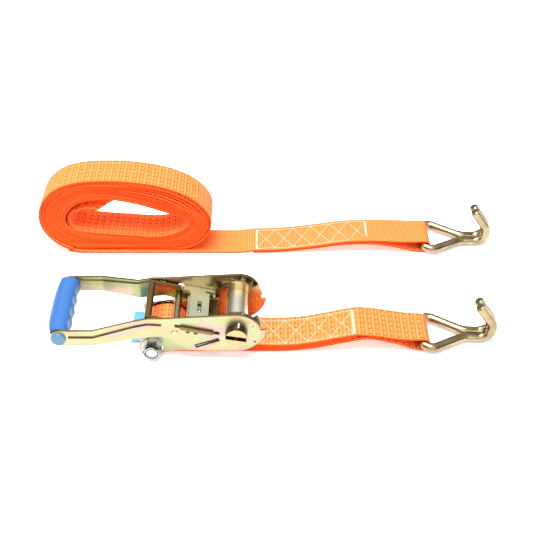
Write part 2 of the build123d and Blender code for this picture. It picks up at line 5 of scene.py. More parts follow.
import bpy
import numpy as np
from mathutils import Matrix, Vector


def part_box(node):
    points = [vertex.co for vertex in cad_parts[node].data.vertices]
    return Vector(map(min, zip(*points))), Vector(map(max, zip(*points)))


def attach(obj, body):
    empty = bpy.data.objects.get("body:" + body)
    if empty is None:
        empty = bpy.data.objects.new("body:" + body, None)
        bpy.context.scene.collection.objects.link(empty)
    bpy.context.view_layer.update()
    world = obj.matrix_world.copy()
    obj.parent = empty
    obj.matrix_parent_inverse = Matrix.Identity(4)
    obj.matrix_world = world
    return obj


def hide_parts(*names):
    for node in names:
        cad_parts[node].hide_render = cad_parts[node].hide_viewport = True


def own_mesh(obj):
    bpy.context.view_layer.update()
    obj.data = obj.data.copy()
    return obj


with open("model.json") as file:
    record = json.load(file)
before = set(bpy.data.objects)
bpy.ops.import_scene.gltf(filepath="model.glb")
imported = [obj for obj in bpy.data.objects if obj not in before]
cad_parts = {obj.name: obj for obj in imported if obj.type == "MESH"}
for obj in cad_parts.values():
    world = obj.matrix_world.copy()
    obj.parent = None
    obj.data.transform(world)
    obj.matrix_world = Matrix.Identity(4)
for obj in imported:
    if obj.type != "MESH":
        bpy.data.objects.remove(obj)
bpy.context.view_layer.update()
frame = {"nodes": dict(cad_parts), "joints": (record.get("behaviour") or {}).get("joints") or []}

# ---------------------------------------------------------------- places, from the frame
MM = 0.001
NODES = frame["nodes"]
JOINTS = {joint["name"]: joint for joint in frame["joints"]}
AXLE = Vector(JOINTS["spool_turn"]["pos_m"])
BOLT = Vector(JOINTS["fixed_strap_swing"]["pos_m"])
FIXED_BAR = Vector(JOINTS["fixed_hook_swing"]["pos_m"])
LONG_BAR = Vector(JOINTS["long_hook_swing"]["pos_m"])
COIL_LOW, COIL_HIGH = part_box("long_strap_coil")
LEAD_LOW, LEAD_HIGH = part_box("long_strap_lead")
LABEL_LOW, LABEL_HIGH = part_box("fixed_strap_label")

# webbing, in metres
WEB_WIDTH = 0.050
WEB_THICK = 0.0021
LAYER = 0.0026              # from one sewn layer to the next
RIB_PITCH = 0.0043
PLAIN_PITCH = 0.0031        # of the finer ribs where the webbing has no marker yarn
YARN_PITCH = 0.0024         # across the webbing, of the yarns that run along it
STATION = RIB_PITCH / 4     # between cross-sections along the webbing
DASH_PITCH = 2 * RIB_PITCH  # dark marker yarn, from dash to dash
ROW_PITCH = 0.0085          # and from one row of dashes to the next
DASH_HALF_WIDTH = 0.00070
MARKED_TO = 0.0225          # how far from the middle the rows of dashes reach
SELVEDGE_SHADE_FROM = 0.0236      # the redder, darker edge colour, painted shade on the webbing's sides, fades in between these two
SELVEDGE_SHADE_FULL = 0.0246

# the straps' loops, in metres
HOOK_BEND = 0.0079          # from the middle of a bar to the middle of the webbing round it
BOLT_BEND = 0.00985
LOOP_REACH = 0.02           # how far a loop's narrowing fades along X
HOOK_NARROWING = 0.0024
BOLT_NARROWING = 0.0014
CORNER_R = 0.0110           # the hook's round corners, and where they start from its middle
CORNER_START = 0.0174

# the coil, in metres
COIL_TURNS = 9.06
COIL_MIDDLE = Vector((COIL_LOW.x + 0.108, (COIL_LOW.y + COIL_HIGH.y) / 2, COIL_LOW.z + 0.049))
LOOSE_THICK = 0.0034        # the most that the webbing is thickened where the turns lie loose
TURN_GAP = 0.00050          # between turns, on average and how much it varies
TURN_GAP_SWING = 0.00028
TURN_GAP_CYCLE = 2.4        # radians of that variation per turn
STEP_FROM = 0.60            # share of a turn after which it steps in to the next
CUT_SLANT = 0.8             # how far the inner end is cut on the slant, per width
CUT_REACH = 0.035           # length of webbing over which the slant fades in

# sewing thread and tape label, in metres
THREAD_R = 0.00031
STITCH = 0.0040
LABEL_WIDTH = 0.0475
LABEL_THICK = 0.0004
LABEL_LEAN = 0.11           # rise of its far edge, per width

random.seed(7)


def beside(x, z):
    """A point in side view, millimetres from the mandrel's axis along X and from the floor up."""
    return (AXLE.x + x * MM, z * MM)


# ---------------------------------------------------------------- lines
def curve_through(points, step, closed=False):
    """Smooth line through points (a centripetal Catmull-Rom curve), resampled at even steps."""
    points = np.array(points, float)
    count = len(points)
    spans = count if closed else count - 1
    dense = []
    for index in range(spans):
        if closed:
            before, start, end, after = (points[(index + k) % count] for k in (-1, 0, 1, 2))
        else:
            start, end = points[index], points[index + 1]
            before = points[index - 1] if index else 2 * start - end
            after = points[index + 2] if index + 2 < count else 2 * end - start
        lengths = [max(np.linalg.norm(b - a), 1e-9) ** 0.5
                   for a, b in ((before, start), (start, end), (end, after))]
        t0 = 0.0
        t1 = lengths[0]
        t2 = t1 + lengths[1]
        t3 = t2 + lengths[2]
        steps = max(4, int(np.linalg.norm(end - start) / (step * 0.5)))
        for t in np.linspace(t1, t2, steps, endpoint=False):
            a1 = (t1 - t) / (t1 - t0) * before + (t - t0) / (t1 - t0) * start
            a2 = (t2 - t) / (t2 - t1) * start + (t - t1) / (t2 - t1) * end
            a3 = (t3 - t) / (t3 - t2) * end + (t - t2) / (t3 - t2) * after
            b1 = (t2 - t) / (t2 - t0) * a1 + (t - t0) / (t2 - t0) * a2
            b2 = (t3 - t) / (t3 - t1) * a2 + (t - t1) / (t3 - t1) * a3
            dense.append((t2 - t) / (t2 - t1) * b1 + (t - t1) / (t2 - t1) * b2)
    dense.append(points[0] if closed else points[-1])
    return resample(np.array(dense), step, closed)


def resample(line, step, closed=False):
    """The same line at even steps; a closed line doesn't repeat its first point."""
    along = np.concatenate([[0], np.cumsum(np.linalg.norm(np.diff(line, axis=0), axis=1))])
    count = max(4, int(round(along[-1] / step)))
    places = np.linspace(0, along[-1], count, endpoint=not closed)
    return np.stack([np.interp(places, along, line[:, k]) for k in range(line.shape[1])], axis=1)


def length_of(line):
    """Length of a line of points."""
    return float(np.linalg.norm(np.diff(line, axis=0), axis=1).sum())


def side_normals(line, closed=False):
    """Unit normals of a side-view line, to its left."""
    if closed:
        tangent = np.roll(line, -1, axis=0) - np.roll(line, 1, axis=0)
    else:
        tangent = np.gradient(line, axis=0)
    tangent /= np.linalg.norm(tangent, axis=1)[:, None]
    return np.stack([-tangent[:, 1], tangent[:, 0]], axis=1)


def eased(share):
    """A share from 0 to 1, with a soft start and a soft end."""
    return share * share * (3 - 2 * share)


def waves(count, sizes, seed):
    """A slow random wander, the sum of a few sines along a line: sizes are (waves, height)."""
    source = random.Random(seed)
    at = np.linspace(0, 2 * math.pi, count)
    total = np.zeros(count)
    for number, height in sizes:
        total += height * np.sin(number * at + source.uniform(0, 2 * math.pi))
    return total


# ---------------------------------------------------------------- meshes
def mesh_object(name, verts, faces):
    """A new smooth-shaded object from plain vertices and faces."""
    mesh = bpy.data.meshes.new(name)
    mesh.from_pydata([tuple(v) for v in verts], [], faces)
    mesh.validate()
    mesh.polygons.foreach_set("use_smooth", [True] * len(mesh.polygons))
    mesh.update()
    obj = bpy.data.objects.new(name, mesh)
    bpy.context.scene.collection.objects.link(obj)
    return obj


def web_section():
    """Cross-section of webbing: place across and height, both from -1 to 1, round its outline."""
    edge = [(0.960, 0.92), (0.982, 0.66), (0.996, 0.30)]
    top = [(u, 1.0) for u in (-0.92, -0.7, 0.0, 0.7, 0.92)]
    right = edge + [(u, -v) for u, v in reversed(edge)]
    bottom = [(u, -1.0) for u, _ in reversed(top)]
    left = [(-u, -v) for u, v in edge] + [(-u, v) for u, v in reversed(edge)]
    return top + right + bottom + left


def strip_faces(count, size, closed):
    """Faces between cross-sections of a size in points, with end faces where the strip is open."""
    faces = []
    for index in range(count if closed else count - 1):
        here = index * size
        there = (index + 1) % count * size
        for k in range(size):
            after = (k + 1) % size
            faces.append((here + k, there + k, there + after, here + after))
    if not closed:
        faces.append(tuple(range(size)))
        faces.append(tuple(reversed(range((count - 1) * size, count * size))))
    return faces


def ribbon(name, line, middle_y, width, thick, closed=False, marks=(1.0, 1.0), twist=0.0, lean=0.0,
           ribs=0.1, pull=None):
    """Webbing along a side-view line: a closed strip with its ribs and a weave coordinate.

    middle_y, width, thick, both marks and twist may vary along the line. marks says how strong the
    marker yarn shows on the left and right face, twist tilts the strip about its middle in radians,
    lean raises its far edge by a slope, ribs is how much a marked rib swells the thickness, and pull
    moves a point along X by its place on the line and across it."""
    count = len(line)
    middle_y = np.broadcast_to(middle_y, count)
    half_width = np.broadcast_to(width, count) / 2
    thick = np.broadcast_to(thick, count)
    left_marks = np.broadcast_to(marks[0], count)
    right_marks = np.broadcast_to(marks[1], count)
    twist = np.broadcast_to(twist, count)
    normal = side_normals(line, closed)
    section = web_section()
    gaps = np.linalg.norm(np.diff(line, axis=0), axis=1)
    along = np.concatenate([[0], np.cumsum(gaps)])
    swell = 1 + ribs * left_marks * np.sin(2 * math.pi * along / RIB_PITCH)
    verts = []
    weave = []
    for index in range(count):
        for across, height in section:
            lift = height * thick[index] / 2 * swell[index]
            turn = twist[index]
            sideways = across * half_width[index]
            out = sideways * math.sin(turn) + lift * math.cos(turn)
            y = middle_y[index] + sideways * math.cos(turn) - lift * math.sin(turn)
            x, z = line[index] + normal[index] * out
            z += lean * sideways
            if pull:
                x += pull(index, sideways)
            verts.append((x, y, z))
            shown = left_marks[index] if height >= 0 else right_marks[index]
            weave.append((along[index], across * WEB_WIDTH / 2, shown))
    obj = mesh_object(name, verts, strip_faces(count, len(section), closed))
    attribute = obj.data.attributes.new("weave", "FLOAT_VECTOR", "POINT")
    attribute.data.foreach_set("vector", np.array(weave, np.float32).ravel())
    return obj


def round_corners(line, bar):
    """How webbing slides forward on the hook's round corners, for a ribbon's pull."""
    weight = near(line, bar.x, 0.016)
    slack = 0.0004

    def pull(index, sideways):
        """Forward shift at a place on the line and a distance across from the middle."""
        reach = min(max(abs(sideways) - CORNER_START, 0.0), CORNER_R * 0.97)
        drop = CORNER_R - math.sqrt(CORNER_R ** 2 - reach ** 2)
        return weight[index] * max(0.0, drop - slack)

    return pull


def stitches(name, segments, surface, middle_y):
    """Sewing thread: one short bowed tube per stitch along plan-view segments (x, y) in metres.

    surface gives (height, slope) of the webbing at an x; the thread dips into it at each end. The
    profile holds the share along a stitch, and the thread's rise and radius in thread radii."""
    verts = []
    faces = []
    sides = 6
    most_sway = 0.00012
    profile = [(0.0, -0.6, 0.55), (0.12, 0.15, 0.95), (0.5, 0.55, 1.0), (0.88, 0.15, 0.95), (1.0, -0.6, 0.55)]
    for (x0, y0), (x1, y1) in segments:
        start, end = Vector((x0, y0, 0)), Vector((x1, y1, 0))
        number = max(1, round((end - start).length / STITCH))
        direction = (end - start).normalized()
        beside_it = Vector((-direction.y, direction.x, 0))
        for index in range(number):
            low = start.lerp(end, (index + 0.06) / number)
            high = start.lerp(end, (index + 0.94) / number)
            sway = random.uniform(-most_sway, most_sway)
            first = len(verts)
            for share, rise, fat in profile:
                centre = low.lerp(high, share) + beside_it * sway
                height, slope = surface(centre.x)
                up = Vector((-slope, 0, 1)).normalized()
                core = Vector((centre.x, middle_y + centre.y, height)) + up * rise * THREAD_R
                for k in range(sides):
                    angle = 2 * math.pi * k / sides
                    spoke = beside_it * math.cos(angle) + up * math.sin(angle)
                    verts.append(core + spoke * THREAD_R * fat)
            for ring in range(len(profile) - 1):
                for k in range(sides):
                    a = first + ring * sides + k
                    b = first + ring * sides + (k + 1) % sides
                    faces.append((a, b, b + sides, a + sides))
            faces.append(tuple(reversed(range(first, first + sides))))
            last = first + (len(profile) - 1) * sides
            faces.append(tuple(range(last, last + sides)))
    return mesh_object(name, verts, faces)


def sewn_pattern(x_low, x_high, y_low, y_high, crosses, bars):
    """Segments of a sewn box, in metres: two rails, a crossed zigzag and dense bar tacks.

    bars are (place, rows)."""
    row_gap = 1.7 * THREAD_R
    overrun = 0.001
    segments = [((x_low, y), (x_high, y)) for y in (y_low, y_high)]
    step = (x_high - x_low) / crosses
    for index in range(crosses):
        left = x_low + index * step
        segments.append(((left, y_low), (left + step, y_high)))
        segments.append(((left, y_high), (left + step, y_low)))
    for x, rows in bars:
        for row in range(rows):
            place = x + (row - (rows - 1) / 2) * row_gap
            segments.append(((place, y_low - overrun), (place, y_high + overrun)))
    return segments


def surface_of(line):
    """Height and slope of a side-view line at an x."""
    order = np.argsort(line[:, 0])
    xs, zs = line[order, 0], line[order, 1]
    slopes = np.gradient(zs, xs)
    return lambda x: (float(np.interp(x, xs, zs)), float(np.interp(x, xs, slopes)))


# ---------------------------------------------------------------- camera
def make_camera():
    """The photo's view: looking down from in front, with a long lens."""
    looking_down = 38
    right_of_axle, before_axle, height = 0.0338, 0.9285, 0.832
    data = bpy.data.cameras.new("camera")
    data.lens = 71.4
    data.sensor_width = 36
    camera = bpy.data.objects.new("camera", data)
    bpy.context.scene.collection.objects.link(camera)
    camera.location = (AXLE.x + right_of_axle, AXLE.y - before_axle, height)
    camera.rotation_euler = (math.radians(90 - looking_down), 0, 0)
    bpy.context.scene.camera = camera


# ---------------------------------------------------------------- fixed strap
STACK_LINE = [(-52, 6.3), (-20, 6.3), (20, 6.3), (54, 6.3), (75, 8.2), (97, 12.6), (119, 18.3), (139, 22.7)]
STACK_HALF = 1.5 * LAYER


def loop_round(bar, radius, start, stop, steps=9):
    """Points round a bar, in side view, from one angle to another in degrees."""
    angles = np.radians(np.linspace(start, stop, steps))
    return [(bar.x + radius * math.cos(a), bar.z + radius * math.sin(a)) for a in angles]


def near(line, x, reach):
    """How close each point of a line is to an x, from 0 to 1, fading over a reach."""
    return np.exp(-((line[:, 0] - x) / reach) ** 2)


def fixed_strap_line(stack, normal):
    """Closed side-view line of the outer layer: over the sewn stack and round both loops."""
    top = stack + normal * STACK_HALF
    bottom = stack - normal * STACK_HALF
    over = [beside(x, z) for x, z in ((156, 24.8), (172, 22.0), (190, 18.9), (203, 17.6))]
    under = [beside(x, z) for x, z in ((203, 3.9), (188, 11.0), (170, 16.3), (154, 19.9))]
    bulge = [beside(x, z) for x, z in ((-103.5, 24.6), (-90, 31.0), (-76, 31.0), (-64.5, 24.0),
                                       (-58.8, 15.0))]
    hook_bend = loop_round(FIXED_BAR, HOOK_BEND, 90, -90)
    bolt_bend = loop_round(BOLT, BOLT_BEND, -90, -180, 6)
    points = [*top, *over, *hook_bend, *under, *bottom[::-1], beside(-74, 3.0), *bolt_bend, *bulge]
    return curve_through(points, STATION, closed=True)


def make_fixed_strap():
    """Outer layer all round both loops, two inner layers, and the stitching."""
    stack = curve_through([beside(x, z) for x, z in STACK_LINE], 0.004)
    normal = side_normals(stack)
    line = fixed_strap_line(stack, normal)
    at_hook, at_bolt = near(line, FIXED_BAR.x, LOOP_REACH), near(line, BOLT.x, LOOP_REACH)
    width = WEB_WIDTH - HOOK_NARROWING * at_hook - BOLT_NARROWING * at_bolt
    wander = AXLE.y + waves(len(line), ((3, 0.0002), (7, 0.00012)), 1)
    arch = 0.02 * near(line, AXLE.x + 0.17, 0.04)
    outer = ribbon("fixed_strap_webbing_outer", line, wander, width, WEB_THICK, closed=True, twist=arch,
                   pull=round_corners(line, FIXED_BAR))
    pieces = [outer]
    for index, (side, left, right) in enumerate(((1, -46, 137), (-1, -40, 131))):
        inner = curve_through(stack + normal * side * LAYER / 2, STATION)
        inner = inner[(inner[:, 0] > AXLE.x + left * MM) & (inner[:, 0] < AXLE.x + right * MM)]
        sway = AXLE.y + waves(len(inner), ((2, 0.00035), (5, 0.0002)), 5 + index)
        layer = ribbon(f"fixed_strap_webbing_inner_{index + 1}", inner, sway, WEB_WIDTH - 0.0008, WEB_THICK)
        pieces.append(layer)
    for piece in pieces:
        piece.data.materials.append(WEBBING)
        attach(piece, "fixed_strap")
    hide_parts("fixed_strap_webbing")
    sew_fixed_strap(stack, normal)


def sew_fixed_strap(stack, normal):
    """Crossed box stitching through the four layers, on both faces."""
    crosses = 6
    x1 = AXLE.x + 134.5 * MM
    x0 = x1 - crosses * 26.4 * MM
    pattern = sewn_pattern(x0, x1, -0.0215, 0.0185, crosses, ((x1, 5), ))
    reach = STACK_HALF + WEB_THICK / 2
    thread = stitches("fixed_strap_thread_top", pattern, surface_of(stack + normal * reach), AXLE.y)
    under = stitches("fixed_strap_thread_bottom", pattern, surface_of(stack - normal * reach), AXLE.y)
    for piece in (thread, under):
        piece.data.materials.append(THREAD)
        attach(piece, "fixed_strap")
    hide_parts("fixed_strap_stitching")


def make_label():
    """Plain tape folded double and sewn into the bolt loop, standing out to the left."""
    right = LABEL_HIGH.x + 0.0004
    left = LABEL_LOW.x + 0.002
    z = (LABEL_LOW.z + LABEL_HIGH.z) / 2 + 0.0027
    upper = [(right, z + 0.0012), (right - 0.006, z + 0.0014),
             (left + 0.004, z + 0.0007), (left + 0.001, z + 0.0004)]
    fold = (left, z - 0.0002)
    lower = [(left + 0.001, z - 0.0008), (left + 0.004, z - 0.0006),
             (right - 0.006, z - 0.0001), (right, z - 0.0004)]
    line = curve_through([*upper, fold, *lower], 0.0005)
    tape = ribbon("fixed_strap_tape_label", line, (LABEL_LOW.y + LABEL_HIGH.y) / 2, LABEL_WIDTH,
                  LABEL_THICK, marks=(0.0, 0.0), lean=LABEL_LEAN, ribs=0.0)
    tape.data.materials.append(LABEL)
    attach(tape, "fixed_strap")
    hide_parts("fixed_strap_label")


# ---------------------------------------------------------------- long strap
LAP_LINE = [(17, 2.6), (51, 4.0), (77, 6.9), (103, 10.7), (124, 14.5), (145, 16.7), (168, 17.2)]


def ring_at(angle):
    """Inner and outer face of the CAD coil, as distances from COIL_MIDDLE along a side-view angle."""
    solid = NODES["long_strap_coil"]
    direction = Vector((math.cos(angle), 0, math.sin(angle)))
    _, inner, _, _ = solid.ray_cast(COIL_MIDDLE, direction)
    _, outer, _, _ = solid.ray_cast(inner + direction * MM, direction)
    return (inner - COIL_MIDDLE).length, (outer - COIL_MIDDLE).length


def coil_turns(start):
    """Side-view points of the wound turns, from the outside in, starting at an angle in radians.

    The turns fill the CAD coil's ring evenly: each follows the one outside it round the left, the top
    and the right, and steps in along the bottom. Also gives the webbing's thickness at each point."""
    per_turn = 90
    rings = [ring_at(start - 2 * math.pi * index / per_turn) for index in range(per_turn)]
    points = []
    thicks = []
    for index in range(int(COIL_TURNS * per_turn) + 1):
        angle = start - 2 * math.pi * index / per_turn
        inner, outer = rings[index % per_turn]
        spacing = (outer - inner) / (COIL_TURNS + 0.5)
        done = index / per_turn
        gap = TURN_GAP + TURN_GAP_SWING * math.sin(TURN_GAP_CYCLE * done)
        thicks.append(min(spacing - gap, LOOSE_THICK))
        step = min(max((done % 1 - STEP_FROM) / (1 - STEP_FROM), 0.0), 1.0)
        lap = math.floor(done) + eased(step)
        radius = outer - spacing * (0.5 + lap)
        points.append((COIL_MIDDLE.x + radius * math.cos(angle), COIL_MIDDLE.z + radius * math.sin(angle)))
    return points, thicks


def slanted_end(count):
    """How the coil's inner end is cut on the slant, for a ribbon's pull: its far edge is longer."""
    to_end = (count - 1 - np.arange(count)) * STATION
    weight = np.clip(1 - to_end / CUT_REACH, 0, 1) * CUT_SLANT

    def pull(index, sideways):
        """Forward shift at a place on the line and a distance across from the middle."""
        return weight[index] * (sideways + WEB_WIDTH / 2)

    return pull


def long_strap_line(lap, normal):
    """Side-view line of the whole strap, the length before its coil, and the turns' thickness."""
    top = lap + normal * LAYER / 2
    bottom = lap - normal * LAYER / 2
    over = [beside(x, z) for x, z in ((190, 18.2), (212, 17.4), (226, 17.2))]
    under = [beside(x, z) for x, z in ((224, 3.3), (208, 8.2), (188, 12.9))]
    bend = loop_round(LONG_BAR, HOOK_BEND, 90, -90)
    flat_z = LEAD_LOW.z / MM + WEB_THICK / MM / 2
    lead = [beside(x, z) for x, z in ((6, 2.2), (-8, flat_z), (-40, flat_z), (-90, flat_z), (-150, flat_z),
                                      (-190, flat_z), (-208, flat_z + 0.6), (-222, flat_z + 3.6))]
    turns, thicks = coil_turns(math.radians(214))
    lap_part = [*bottom, *under[::-1], *bend[::-1], *over[::-1], *top[::-1]]
    tail = [beside(x, z) for x, z in ((-218, 53), (-213, 60), (-204, 64.5), (-193, 66), (-182, 65))]
    line = curve_through([*lap_part, *lead, *turns, *tail], STATION)
    return line, length_of(np.array([*lap_part, *lead])), thicks


def make_long_strap():
    """One length of webbing: lap end, hook loop, lead under the coil, and the coil's turns.

    It crosses from the lead's middle to the coil's round the start of the first turn."""
    crossing_before = 0.05
    crossing = 0.25
    thickening = 0.03
    lap = curve_through([beside(x, z) for x, z in LAP_LINE], 0.004)
    normal = side_normals(lap)
    line, lead_end, thicks = long_strap_line(lap, normal)
    count = len(line)
    along = np.arange(count) * STATION
    lead_y = (LEAD_LOW.y + LEAD_HIGH.y) / 2
    into_coil = eased(np.clip((along - lead_end + crossing_before) / crossing, 0, 1))
    wander = waves(count, ((9, 0.0005), (23, 0.0004), (41, 0.0002)), 3) * into_coil
    middle = lead_y + (COIL_MIDDLE.y - lead_y) * into_coil + wander
    marks = np.clip((along - lead_end) / RIB_PITCH, 0, 1)
    turns_along = lead_end + np.linspace(0, along[-1] - lead_end, len(thicks))
    thick = np.interp(along, [lead_end - thickening, *turns_along], [WEB_THICK, *thicks])
    width = WEB_WIDTH - HOOK_NARROWING * near(line, LONG_BAR.x, LOOP_REACH)
    twist = 0.03 * near(line, AXLE.x + 0.165, 0.03) * (along < lead_end)
    corners = round_corners(line, LONG_BAR)
    cut = slanted_end(count)
    strap = ribbon("long_strap_webbing", line, middle, width, thick, marks=(marks, marks),
                   twist=twist, pull=lambda index, sideways: corners(index, sideways) + cut(index, sideways))
    strap.data.materials.append(WEBBING)
    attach(strap, "long_strap")
    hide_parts("long_strap_coil", "long_strap_lead")
    sew_long_strap(lap, normal, lead_y)


def sew_long_strap(lap, normal, middle_y):
    """Crossed box stitching through the lap, with a bar tack at each end.

    Underneath, it starts where the webbing has lifted clear of the floor."""
    x0, x1 = AXLE.x + 21 * MM, AXLE.x + 163.5 * MM
    clear = x0 + 0.03
    pattern = sewn_pattern(x0, x1, -0.021, 0.019, 6, ((x0, 4), (x1, 5)))
    reach = (LAYER + WEB_THICK) / 2
    thread = stitches("long_strap_thread_top", pattern, surface_of(lap + normal * reach), middle_y)
    lifted = [((max(xa, clear), ya), (xb, yb)) for (xa, ya), (xb, yb) in pattern if xb > clear]
    under = stitches("long_strap_thread_bottom", lifted, surface_of(lap - normal * reach), middle_y)
    for piece in (thread, under):
        piece.data.materials.append(THREAD)
        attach(piece, "long_strap")
    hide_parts("long_strap_stitching")


# ---------------------------------------------------------------- materials
class Shader:
    """A Principled material, with short ways to add nodes to it."""

    def __init__(self, name, **constants):
        self.material = bpy.data.materials.new(name)
        self.material.use_nodes = True
        self.tree = self.material.node_tree
        self.bsdf = next(n for n in self.tree.nodes if n.type == "BSDF_PRINCIPLED")
        for socket, value in constants.items():
            self.bsdf.inputs[socket.replace("_", " ")].default_value = value

    def add(self, kind, inputs=(), **settings):
        """A node with its settings and inputs; an input is a socket or a value."""
        node = self.tree.nodes.new("ShaderNode" + kind)
        for key, value in settings.items():
            setattr(node, key, value)
        for key, value in dict(inputs).items():
            if isinstance(value, bpy.types.NodeSocket):
                self.tree.links.new(value, node.inputs[key])
            else:
                node.inputs[key].default_value = value
        return node

    def maths(self, operation, first, second=0.0):
        """One maths node."""
        return self.add("Math", {0: first, 1: second}, operation=operation).outputs[0]

    def place(self):
        """Where a point of the object is, in metres."""
        return self.add("TexCoord").outputs["Object"]

    def noise(self, scale, detail=2.0, distortion=0.0, stretch=None):
        """Noise by place; scale is in features per metre, stretch squeezes it along each axis."""
        where = self.place()
        if stretch:
            where = self.add("Mapping", {"Vector": where, "Scale": stretch}).outputs[0]
        settings = {"Vector": where, "Scale": scale, "Detail": detail, "Distortion": distortion}
        return self.add("TexNoise", settings).outputs["Fac"]

    def ramp(self, factor, stops):
        """A soft colour ramp: stops are (place, colour)."""
        node = self.add("ValToRGB", {"Fac": factor})
        ramp = node.color_ramp
        ramp.interpolation = "EASE"
        while len(ramp.elements) < len(stops):
            ramp.elements.new(0.5)
        for element, (place, colour) in zip(ramp.elements, stops):
            element.position = place
            element.color = (*colour, 1.0)
        return node.outputs["Color"]

    def mix(self, factor, first, second, blend="MIX"):
        """Mix of two colours."""
        node = self.add("Mix", data_type="RGBA", blend_type=blend)
        for key, value in (("Factor", factor), ("A", first), ("B", second)):
            socket = next(s for s in node.inputs if s.name == key and s.enabled)
            if isinstance(value, bpy.types.NodeSocket):
                self.tree.links.new(value, socket)
            else:
                socket.default_value = (*value, 1.0) if isinstance(value, tuple) else value
        return next(s for s in node.outputs if s.enabled)

    def spread(self, factor, low, high):
        """A value from 0 to 1 moved to a range."""
        return self.add("MapRange", {"Value": factor, "To Min": low, "To Max": high}).outputs[0]

    def link(self, output, socket):
        """Feed one of the material's own inputs."""
        self.tree.links.new(output, self.bsdf.inputs[socket])

    def bump(self, height, distance, strength, edge=0.0):
        """Relief from a height, over edges rounded by a radius."""
        inputs = {"Height": height, "Distance": distance, "Strength": strength}
        if edge:
            inputs["Normal"] = self.add("Bevel", {"Radius": edge}, samples=4).outputs[0]
        self.link(self.add("Bump", inputs).outputs[0], "Normal")


def plated(name, tints, rough=(0.30, 0.42), edge=0.0004, patch=18, edge_shade=None, outside=(), left=None):
    """Zinc plating: soft patches of tint, faint rolling marks, clouded gloss.

    tints lie side by side over the range that the noise covers. edge_shade is painted shade: a darker
    colour on faces that don't face across the buckle, such as a plate's edges. outside holds (distance,
    colour) from the middle out: the colour further than that from the buckle's middle. left is one
    (place, colour): the colour further along -X than the place."""
    shader = Shader(name, Metallic=1.0)
    cloud = shader.noise(patch, 1.5, 0.5, (0.6, 1.0, 1.3))
    places = np.linspace(0.28, 0.72, len(tints))
    colour = shader.ramp(cloud, list(zip(places, tints)))
    rolling = shader.noise(700, 2.0, 0.0, (0.06, 1.0, 1.0))
    colour = shader.mix(shader.spread(rolling, 0.0, 0.14), colour, (0.55, 0.50, 0.42), "MULTIPLY")
    where = shader.add("SeparateXYZ", {0: shader.place()}).outputs
    off = shader.maths("ABSOLUTE", shader.maths("SUBTRACT", where[1], AXLE.y))
    for distance, beyond in outside:
        colour = shader.mix(shader.maths("GREATER_THAN", off, distance), colour, beyond)
    if left:
        colour = shader.mix(shader.maths("LESS_THAN", where[0], left[0]), colour, left[1])
    # painted shade: faces that don't face across the buckle, such as plates' edges, get a darker colour
    if edge_shade:
        normal = shader.add("TexCoord").outputs["Normal"]
        facing = shader.maths("ABSOLUTE", shader.add("SeparateXYZ", {0: normal}).outputs[1])
        cut = shader.add("MapRange", {"Value": facing, "From Min": 0.85, "From Max": 0.6}).outputs[0]
        colour = shader.mix(cut, colour, edge_shade)
    shader.link(colour, "Base Color")
    shader.link(shader.spread(shader.noise(60, 4.0), *rough), "Roughness")
    shader.bump(shader.noise(420, 3.0), 0.00003, 0.3, edge)
    return shader.material


def moulded(name, colour, dark, rough, grain):
    """Moulded plastic: fine grain, slightly darker in patches, satin gloss."""
    shader = Shader(name)
    cloud = shader.noise(35, 3.0)
    shader.link(shader.mix(cloud, colour, dark), "Base Color")
    shader.link(shader.spread(shader.noise(160, 3.0), rough - 0.06, rough + 0.08), "Roughness")
    shader.bump(shader.noise(grain, 2.0), 0.00008, 0.6, 0.0005)
    return shader.material


